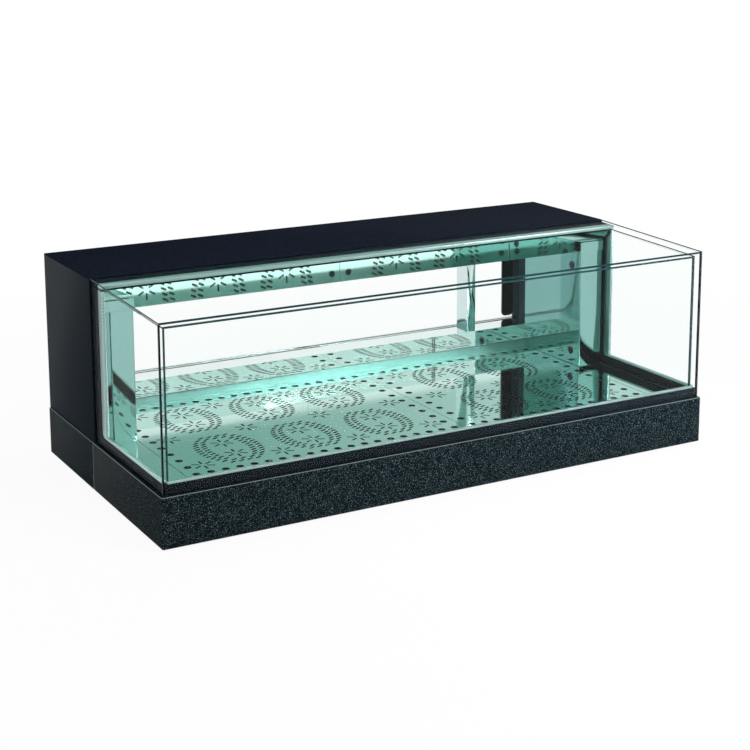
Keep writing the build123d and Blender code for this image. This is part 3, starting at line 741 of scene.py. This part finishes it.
@dataclass
class HoleRows:
    """Rows of near-black discs along the hollow bars between the panes, painted where the vent holes
    are as the shade inside them.
    """

    radius: float = 0.9 * MM
    pitch: float = 4.6 * MM
    proud: float = 0.03 * MM
    sides: int = 8

    def tree(self) -> bpy.types.NodeTree:
        """Builds the node group that sets discs along a line.

        Returns:
            The group, with inputs Start, End, Turn, Count, Radius and Finish.
        """
        group = bpy.data.node_groups.new("row_of_holes", "GeometryNodeTree")
        kinds = {
            "Geometry": "NodeSocketGeometry",
            "Start": "NodeSocketVector",
            "End": "NodeSocketVector",
            "Turn": "NodeSocketVector",
            "Count": "NodeSocketInt",
            "Radius": "NodeSocketFloat",
            "Finish": "NodeSocketMaterial",
        }
        for name, kind in kinds.items():
            group.interface.new_socket(name, in_out="INPUT", socket_type=kind)
        group.interface.new_socket(
            "Geometry", in_out="OUTPUT", socket_type="NodeSocketGeometry"
        )
        given = group.nodes.new("NodeGroupInput")
        result = group.nodes.new("NodeGroupOutput")
        line = group.nodes.new("GeometryNodeMeshLine")
        line.mode = "END_POINTS"
        disc = group.nodes.new("GeometryNodeMeshCircle")
        disc.fill_type = "NGON"
        disc.inputs["Vertices"].default_value = self.sides
        place = group.nodes.new("GeometryNodeInstanceOnPoints")
        real = group.nodes.new("GeometryNodeRealizeInstances")
        coat = group.nodes.new("GeometryNodeSetMaterial")
        wire = group.links.new
        wire(given.outputs["Start"], line.inputs["Start Location"])
        wire(given.outputs["End"], line.inputs["Offset"])
        wire(given.outputs["Count"], line.inputs["Count"])
        wire(given.outputs["Radius"], disc.inputs["Radius"])
        wire(line.outputs["Mesh"], place.inputs["Points"])
        wire(disc.outputs["Mesh"], place.inputs["Instance"])
        wire(given.outputs["Turn"], place.inputs["Rotation"])
        wire(place.outputs["Instances"], real.inputs["Geometry"])
        wire(real.outputs["Geometry"], coat.inputs["Geometry"])
        wire(given.outputs["Finish"], coat.inputs["Material"])
        wire(coat.outputs["Geometry"], result.inputs["Geometry"])
        return group

    def build(self, name: str, rows: list[RowOfHoles]) -> bpy.types.Object:
        """Makes every row and joins them as one piece.

        Args:
            name: the piece's name.
            rows: where the rows run.

        Returns:
            The piece.
        """
        group = self.tree()
        inputs = [item for item in group.interface.items_tree if item.in_out == "INPUT"]
        sockets = {item.name: item.identifier for item in inputs}
        whole = bmesh.new()
        for row in rows:
            holder = link("row_of_holes", bpy.data.meshes.new("row_of_holes"))
            modifier = holder.modifiers.new("rows", "NODES")
            modifier.node_group = group
            length = (row.end - row.start).length
            modifier[sockets["Start"]] = row.start + row.facing * self.proud
            modifier[sockets["End"]] = row.end + row.facing * self.proud
            modifier[sockets["Turn"]] = Vector(row.facing.to_track_quat("Z", "Y").to_euler())
            modifier[sockets["Count"]] = int(length / self.pitch)
            modifier[sockets["Radius"]] = self.radius
            modifier[sockets["Finish"]] = PALETTE.get(HOLE_SHADE)
            baked(holder)
            whole.from_mesh(holder.data)
            bpy.data.objects.remove(holder)
        LOG.info("made %s with %d rows", name, len(rows))
        return piece_from(name, whole, HOLE_SHADE)


@dataclass
class Plinth:
    """The black base with its foam, well, deck and feet."""

    easing: float = 0.7 * MM
    side_easing: float = 0.42 * MM
    foot_easing: float = 0.35 * MM
    plain: dict[str, Finish] = field(
        default_factory=lambda: {
            "base_pan": PLAIN_STEEL,
            "base_insulation": FOAM,
            "well_liner": PLAIN_STEEL,
            "tray_support_bar": PLAIN_STEEL,
            "well_coil": COPPER,
            "coil_saddles": GREY_PLASTIC,
            "deck_plate": TRAY,
        }
    )

    def build(self) -> None:
        """Dresses the base and eases the edges that show."""
        for node, finish in self.plain.items():
            dress(node, finish)
        # The base's broken edges take the pale edge paint: a painted highlight along them.
        soften("front_plinth_cover", BASE_BLACK, self.easing, edge=EDGE_HIGHLIGHT_PAINT)
        soften("rear_plinth_sides", BASE_BLACK, self.side_easing, edge=EDGE_HIGHLIGHT_PAINT)
        soften("rubber_feet", RUBBER, self.foot_easing)


@dataclass
class Trays:
    """The two loose perforated trays, with the walls of their punched holes painted dark as the
    shade inside them.
    """

    names: tuple[str, str] = ("tray_left", "tray_right")
    rim: float = 2.0 * MM
    upright: float = 0.5

    def build(self) -> None:
        """Dresses both trays."""
        for name in self.names:
            self.punch(name)

    def punch(self, name: str) -> bpy.types.Object:
        """Puts in its place a copy of a tray whose hole walls carry painted shade.

        Args:
            name: the tray's CAD node.

        Returns:
            The new piece.
        """
        low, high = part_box(name)

        def hole_wall(face: bpy.types.MeshPolygon) -> int:
            """Tells the walls of the punched holes from the rest of the tray.

            Args:
                face: a face of the tray.

            Returns:
                1 for the wall of a hole, else 0.
            """
            x, y = face.center.x, face.center.y
            inside_x = low.x + self.rim < x < high.x - self.rim
            inside_y = low.y + self.rim < y < high.y - self.rim
            return int(abs(face.normal.z) < self.upright and inside_x and inside_y)

        return recoated(name, name + "_punched", (TRAY, PAINTED_SHADE), hole_wall)


@dataclass(frozen=True)
class EdgeStrip:
    """A thin four-cornered strip that shows the ground edge of a pane: the glass's green seen
    edge-on, with a painted dark line where refraction would darken the edge.
    """

    corners: tuple[Vector, Vector, Vector, Vector]
    facing: Vector


@dataclass
class GlassBox:
    """The insulated glass units, with their ground edges, seals and bars."""

    pane: float = 3.0 * MM
    border: float = 24.0 * MM
    bar_depth: float = 14.0 * MM
    bar_foot: float = 14.0 * MM
    bar_head: float = 18.0 * MM
    bar_width: float = 5.0 * MM
    deep: tuple[float, float] = (0.3, 0.7)
    skin: float = 0.06 * MM
    arris: float = 2.0 * MM

    def build(self) -> None:
        """Dresses the panes, shows their edges with strips that carry a painted dark line, and makes
        the bars' vent holes as discs of painted shade.
        """
        for side in ("left", "right"):
            dress(side + "_outer_pane", SIDE_GLASS)
            dress(side + "_inner_pane", SIDE_GLASS)
        for layer in ("outer", "inner"):
            dress("front_" + layer + "_pane", FRONT_GLASS)
            dress("top_" + layer + "_pane", TOP_GLASS)
        skin = self.skin
        soften("pane_edge_seals", SEALANT, skin, segments=1, shrink=skin)
        soften("pane_spacers", SPACER, skin, segments=1, shrink=skin)
        HoleRows().build("spacer_holes", self.rows())
        self.edges()

    def rows(self) -> list[RowOfHoles]:
        """Works out where the vent holes run, from the bars' own place.

        Returns:
            The rows on the upright bars and on the bar under the top glass.
        """
        low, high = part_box("pane_spacers")
        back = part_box("pane_edge_seals")[1].y - self.border
        front = back - self.bar_depth
        head = high.z - self.bar_head
        rows = []
        for sign in (-1.0, 1.0):
            outer = sign * high.x
            inner = sign * (high.x - self.bar_width)
            middle = (outer + inner) / 2.0
            places = [(middle, front, Vector((0.0, -1.0, 0.0)))]
            for share in self.deep:
                y = front + self.bar_depth * share
                places.append((outer, y, Vector((sign, 0.0, 0.0))))
                places.append((inner, y, Vector((-sign, 0.0, 0.0))))
            for x, y, facing in places:
                start = Vector((x, y, low.z + self.bar_foot))
                rows.append(RowOfHoles(start, Vector((x, y, head)), facing))
        top_low, top_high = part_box("top_outer_pane")
        slope = (top_high.z - top_low.z - self.pane) / (top_high.y - top_low.y)
        for share in self.deep:
            y = front + self.bar_depth * share
            z = top_low.z + slope * (y - top_low.y)
            reach = high.x - self.bar_width
            ends = [Vector((x, y, z)) for x in (-reach, reach)]
            rows.append(RowOfHoles(*ends, Vector((0.0, 0.0, 1.0))))
        return rows

    def facing_front(self, y: float, outline: list[tuple[float, float]]) -> EdgeStrip:
        """Gives a strip that faces the customer, from its outline in x and z."""
        corners = tuple(Vector((x, y, z)) for x, z in outline)
        return EdgeStrip(corners, Vector((0.0, -1.0, 0.0)))

    def facing_aside(self, x: float, outline: list[tuple[float, float]]) -> EdgeStrip:
        """Gives a strip that faces left or right, from its outline in y and z."""
        corners = tuple(Vector((x, y, z)) for y, z in outline)
        return EdgeStrip(corners, Vector((math.copysign(1.0, x), 0.0, 0.0)))

    def strips(self) -> list[EdgeStrip]:
        """Works out where the ground edges of the panes show.

        Returns:
            The strips of the top panes, the front pane and the inner side panes.
        """
        strips = []
        for node in ("top_outer_pane", "top_inner_pane"):
            low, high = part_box(node)
            brow = low.z + self.pane
            front = [(low.x, low.z), (high.x, low.z), (high.x, brow), (low.x, brow)]
            strips.append(self.facing_front(low.y, front))
            side = [
                (low.y, brow - self.arris),
                (high.y, high.z - self.arris),
                (high.y, high.z),
                (low.y, brow),
            ]
            strips.extend(self.facing_aside(x, side) for x in (low.x, high.x))
        low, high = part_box("front_outer_pane")
        side = [(low.y, low.z), (high.y, low.z), (high.y, high.z), (low.y, high.z)]
        strips.extend(self.facing_aside(x, side) for x in (low.x, high.x))
        under_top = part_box("top_inner_pane")[0].z
        for node in ("left_inner_pane", "right_inner_pane"):
            low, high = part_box(node)
            top = min(high.z, under_top)
            front = [(low.x, low.z), (high.x, low.z), (high.x, top), (low.x, top)]
            strips.append(self.facing_front(low.y, front))
        return strips

    def edges(self) -> bpy.types.Object:
        """Makes the strips that show the ground edges of the panes, with their painted dark lines.

        Returns:
            The piece with all the strips.
        """
        strips = self.strips()
        form = bmesh.new()
        for strip in strips:
            step = strip.facing * self.skin
            under = [form.verts.new(corner + step) for corner in strip.corners]
            over = [form.verts.new(corner + step * 2.0) for corner in strip.corners]
            form.faces.new(under)
            form.faces.new(over)
            for here in range(len(under)):
                after = (here + 1) % len(under)
                form.faces.new((under[here], under[after], over[after], over[here]))
        bmesh.ops.recalc_face_normals(form, faces=form.faces)
        LOG.info("made pane_edges with %d strips", len(strips))
        return piece_from("pane_edges", form, GLASS_EDGE_WITH_PAINTED_LINE)


@dataclass
class Cabinet:
    """The black rear cabinet with its polished lining, valance and lamp."""

    easing: float = 0.6 * MM
    head_rise: float = 15.5 * MM
    plain: dict[str, Finish] = field(
        default_factory=lambda: {
            "ceiling_liner": SATIN,
            "cabinet_insulation": FOAM,
            "end_wall_liner_left": WALL_PAINTED_DARK,
            "end_wall_liner_right": WALL_PAINTED_DARK,
            "front_valance": MIRROR,
            "glass_support_angle": BLACK_ALUMINIUM,
            "led_bar": ALUMINIUM,
            "led_diffuser": DIFFUSER,
            "wall_grommets": RUBBER,
        }
    )

    def build(self) -> None:
        """Dresses the cabinet and eases its outer edges."""
        for node, finish in self.plain.items():
            dress(node, finish)
        for side in ("left", "right"):
            soften("cabinet_side_" + side, BLACK_STEEL, self.easing)
        soften("cabinet_top_panel", TOP_STEEL, self.easing)
        soften("jamb_plates", POLISHED, self.easing)
        self.heads()

    def heads(self) -> bpy.types.Object:
        """Closes the gaps between the jamb plates and the valance above them.

        Returns:
            The piece with one head on each side.
        """
        low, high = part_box("jamb_plates")
        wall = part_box("end_wall_liner_right")[0].x
        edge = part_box("right_inner_pane")[0].x
        form = bmesh.new()
        size = Vector((edge - wall, high.y - low.y, self.head_rise))
        y = (low.y + high.y) / 2.0
        z = high.z + self.head_rise / 2.0
        for sign in (-1.0, 1.0):
            middle = Vector((sign * (wall + edge) / 2.0, y, z))
            place = Matrix.Translation(middle) @ Matrix.Diagonal((*size, 1.0))
            bmesh.ops.create_cube(form, size=1.0, matrix=place)
        LOG.info("made jamb_plate_heads")
        return piece_from("jamb_plate_heads", form, POLISHED)


@dataclass
class RearFrame:
    """The rear opening: jambs, sill, tracks, post and the two sliding doors."""

    easing: float = 0.5 * MM
    pull_easing: float = 0.8 * MM
    lip: float = 2.0 * MM
    lip_share: float = 0.75
    upward: float = 0.5

    def build(self) -> None:
        """Dresses the rear frame and the doors."""
        self.sill()
        dress("lower_track", TRACK)
        dress("upper_track", ALUMINIUM)
        soften("rear_jambs", BLACK_ALUMINIUM, self.easing)
        soften("support_post", POST, self.easing)
        for side in ("left", "right"):
            dress("door_" + side + "_pane", DOOR_GLASS)
            dress("door_" + side + "_rail", TRACK)
            soften("door_" + side + "_pull", PULL, self.pull_easing, segments=3)

    def sill(self) -> bpy.types.Object:
        """Puts a copy of the sill in its place, with a satin lip whose upper face is painted dark as
        the shadow in the gap above the lip.

        Returns:
            The new piece.
        """
        behind_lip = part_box("rear_sill")[0].y + self.lip_share * self.lip

        def part_of_lip(face: bpy.types.MeshPolygon) -> int:
            """Tells the lip at the sill's foot from the rest of the sill.

            Args:
                face: a face of the sill.

            Returns:
                1 for the lip, 2 for its upper face and 0 for the rest.
            """
            if face.center.y > behind_lip:
                return 0
            return 2 if face.normal.z > self.upward else 1

        # The lip's upper face takes the painted shade: a painted shadow in the gap between the lip
        # and the sill face.
        finishes = (SILL, LIP, PAINTED_SHADE)
        return recoated("rear_sill", "rear_sill_lined", finishes, part_of_lip)


@dataclass
class ServicePanel:
    """The panel at the rear of the base with its controls and connections."""

    easing: float = 0.4 * MM
    inlet_easing: float = 0.24 * MM

    def build(self) -> None:
        """Dresses the service panel's pieces."""
        dress("rear_service_panel", BLACK_STEEL)
        dress("drain_tube", PLAIN_STEEL)
        dress("drain_nut", GREY_PLASTIC)
        dress("pipe_grommets", RUBBER)
        dress("controller_lens", LENS)
        dress("casing_screws", SCREW)
        soften("controller_body", BLACK_PLASTIC, self.easing)
        soften("switch_housings", BLACK_PLASTIC, self.easing)
        soften("power_inlet", BLACK_PLASTIC, self.inlet_easing)
        for key in ("down", "up", "set"):
            dress("key_" + key, GREY_PLASTIC)
        for use in ("power", "light"):
            soften(use + "_rocker", ROCKER, self.easing)


@dataclass(frozen=True)
class SoftLamp:
    """A soft rectangular lamp that no mirror shows."""

    name: str
    place: tuple[float, float, float]
    target: tuple[float, float, float]
    size: tuple[float, float]
    watts: float

    def hang(self) -> bpy.types.Object:
        """Hangs the lamp and turns it to its target.

        Returns:
            The lamp's object.
        """
        data = bpy.data.lights.new(self.name, "AREA")
        data.shape = "RECTANGLE"
        data.size, data.size_y = self.size
        data.energy = self.watts
        lamp = bpy.data.objects.new(self.name, data)
        bpy.context.scene.collection.objects.link(lamp)
        lamp.visible_glossy = False
        lamp.location = self.place
        facing = Vector(self.target) - Vector(self.place)
        lamp.rotation_euler = facing.to_track_quat("-Z", "Y").to_euler()
        return lamp


@dataclass
class Studio:
    """Floor, light and camera."""

    focal_pixels: float = 1603.6
    frame_pixels: float = 750.0
    sensor: float = 36.0
    shift: float = -0.2
    yaw: float = 29.38
    pitch: float = -10.77
    roll: float = -0.15
    place: tuple[float, float, float] = (-1.1741, -2.07875, 0.8062)
    view_range: tuple[float, float] = (0.05, 100.0)
    bounces: int = 26
    mirror_bounces: int = 10
    glass_bounces: int = 24
    sky: float = 0.40
    sky_tint: Colour = (0.97, 0.985, 1.0)
    floor_paint: float = 0.92
    floor_gloss: float = 0.9
    floor_shine: float = 0.1
    floor_half: float = 30.0
    floor_glow: float = 0.93
    floor_fade: tuple[float, float] = (0.6, 1.4)
    card_back: float = 0.95
    card_reach: tuple[float, float] = (-1.6, 3.2)
    card_rise: tuple[float, float] = (0.40, 1.8)
    card_fade: tuple[float, float] = (0.1, 1.1)
    card_dark: Colour = (0.22, 0.40, 0.36)
    card_light: Colour = (0.66, 0.76, 0.74)
    lamps: tuple[SoftLamp, ...] = (
        SoftLamp("key_lamp", (-1.2, -2.2, 2.6), (0.0, 0.0, 0.15), (1.6, 1.2), 18.0),
        SoftLamp("top_lamp", (0.2, 0.4, 2.6), (0.0, 0.0, 0.1), (2.0, 1.2), 14.0),
        SoftLamp("front_lamp", (0.75, -1.1, 0.75), (0.15, -0.2, 0.03), (0.5, 0.3), 13.0),
    )

    def seen(self, tree: bpy.types.NodeTree) -> bpy.types.NodeSocket:
        """Tells rays that look at the background from rays that gather light.

        Args:
            tree: the node tree to add to.

        Returns:
            1 for camera, glossy and transmission rays, else 0.
        """
        rays = tree.nodes.new("ShaderNodeLightPath")
        value = rays.outputs["Is Camera Ray"]
        for kind in ("Is Glossy Ray", "Is Transmission Ray"):
            higher = tree.nodes.new("ShaderNodeMath")
            higher.operation = "MAXIMUM"
            tree.links.new(value, higher.inputs[0])
            tree.links.new(rays.outputs[kind], higher.inputs[1])
            value = higher.outputs[0]
        return value

    def sheet(
        self, name: str, form: bmesh.types.BMesh, material: bpy.types.Material
    ) -> bpy.types.Object:
        """Makes a flat piece of the studio.

        Args:
            name: its name.
            form: its form, which is used up.
            material: its material.

        Returns:
            The object.
        """
        mesh = bpy.data.meshes.new(name)
        form.to_mesh(mesh)
        form.free()
        mesh.materials.append(material)
        return link(name, mesh)

    def floor(self) -> None:
        """Lays a pale floor that fades into the white background."""
        tree = NodeTree("pale_floor")
        grey = (self.floor_paint, self.floor_paint, self.floor_paint, 1.0)
        paint = tree.principled(
            Base_Color=grey, Roughness=self.floor_gloss, Specular_IOR_Level=self.floor_shine
        )
        glow = tree.add("ShaderNodeEmission")
        far = tree.add("ShaderNodeVectorMath", operation="LENGTH")
        tree.join(tree.place, far.inputs[0])
        share = tree.add("ShaderNodeMath", operation="MULTIPLY")
        fade = tree.spread(far.outputs["Value"], self.floor_glow, 1.0, *self.floor_fade)
        tree.join(fade, share.inputs[0])
        tree.join(self.seen(tree.tree), share.inputs[1])
        mix = tree.add("ShaderNodeMixShader")
        tree.join(share.outputs[0], mix.inputs[0])
        tree.join(paint.outputs[0], mix.inputs[1])
        tree.join(glow.outputs[0], mix.inputs[2])
        form = bmesh.new()
        bmesh.ops.create_grid(form, x_segments=1, y_segments=1, size=self.floor_half)
        self.sheet("studio_floor", form, tree.finish(mix))

    def card(self) -> None:
        """Hangs a dim card behind the case, above the view through it, for the steel to mirror."""
        tree = NodeTree("card_face")
        glow = tree.add("ShaderNodeEmission")
        across = tree.add("ShaderNodeSeparateXYZ")
        tree.join(tree.place, across.inputs[0])
        side = tree.spread(across.outputs["X"], 0.0, 1.0, *self.card_fade)
        tree.join(tree.blend(side, self.card_dark, self.card_light), glow.inputs["Color"])
        form = bmesh.new()
        left, right = self.card_reach
        low, high = self.card_rise
        corners = [(left, low), (right, low), (right, high), (left, high)]
        form.faces.new([form.verts.new((x, self.card_back, z)) for x, z in corners])
        card = self.sheet("studio_card", form, tree.finish(glow))
        card.visible_camera = False
        card.visible_diffuse = False
        card.visible_shadow = False

    def world(self) -> None:
        """Makes a world that is white to look at and softer as a light."""
        world = bpy.data.worlds.new("studio")
        bpy.context.scene.world = world
        world.use_nodes = True
        tree = world.node_tree
        tree.nodes.clear()
        output = tree.nodes.new("ShaderNodeOutputWorld")
        shown = tree.nodes.new("ShaderNodeBackground")
        shown.inputs["Color"].default_value = (1.0, 1.0, 1.0, 1.0)
        shown.inputs["Strength"].default_value = 1.0
        light = tree.nodes.new("ShaderNodeBackground")
        light.inputs["Color"].default_value = (*self.sky_tint, 1.0)
        light.inputs["Strength"].default_value = self.sky
        mix = tree.nodes.new("ShaderNodeMixShader")
        tree.links.new(self.seen(tree), mix.inputs[0])
        tree.links.new(light.outputs[0], mix.inputs[1])
        tree.links.new(shown.outputs[0], mix.inputs[2])
        tree.links.new(mix.outputs[0], output.inputs["Surface"])

    def camera(self) -> None:
        """Sets the camera where the photograph was taken from."""
        yaw, pitch, roll = (math.radians(angle) for angle in (self.yaw, self.pitch, self.roll))
        flat = math.cos(pitch)
        ahead = Vector((math.sin(yaw) * flat, math.cos(yaw) * flat, math.sin(pitch)))
        level = Vector((math.cos(yaw), -math.sin(yaw), 0.0))
        above = level.cross(ahead)
        right = level * math.cos(roll) + above * math.sin(roll)
        up = above * math.cos(roll) - level * math.sin(roll)
        data = bpy.data.cameras.new("camera")
        data.sensor_width = self.sensor
        data.lens = self.sensor * self.focal_pixels / self.frame_pixels
        data.shift_y = self.shift
        data.clip_start, data.clip_end = self.view_range
        camera = bpy.data.objects.new("camera", data)
        bpy.context.scene.collection.objects.link(camera)
        turn = Matrix((right, up, -ahead)).transposed()
        camera.matrix_world = Matrix.Translation(Vector(self.place)) @ turn.to_4x4()
        bpy.context.scene.camera = camera

    def build(self) -> None:
        """Makes the whole studio."""
        self.floor()
        self.world()
        self.card()
        for lamp in self.lamps:
            lamp.hang()
        self.camera()
        scene = bpy.context.scene
        scene.view_settings.view_transform = "Standard"
        scene.cycles.max_bounces = self.bounces
        scene.cycles.glossy_bounces = self.mirror_bounces
        scene.cycles.transmission_bounces = self.glass_bounces
        scene.cycles.transparent_max_bounces = self.glass_bounces


def main() -> None:
    """Builds the case's sub-assemblies in order, then the studio."""
    logging.basicConfig(level=logging.INFO, format="%(name)s: %(message)s")
    for part in (Plinth(), Trays(), GlassBox(), Cabinet(), RearFrame(), ServicePanel(), Studio()):
        part.build()


if __name__ == "__main__":
    main()
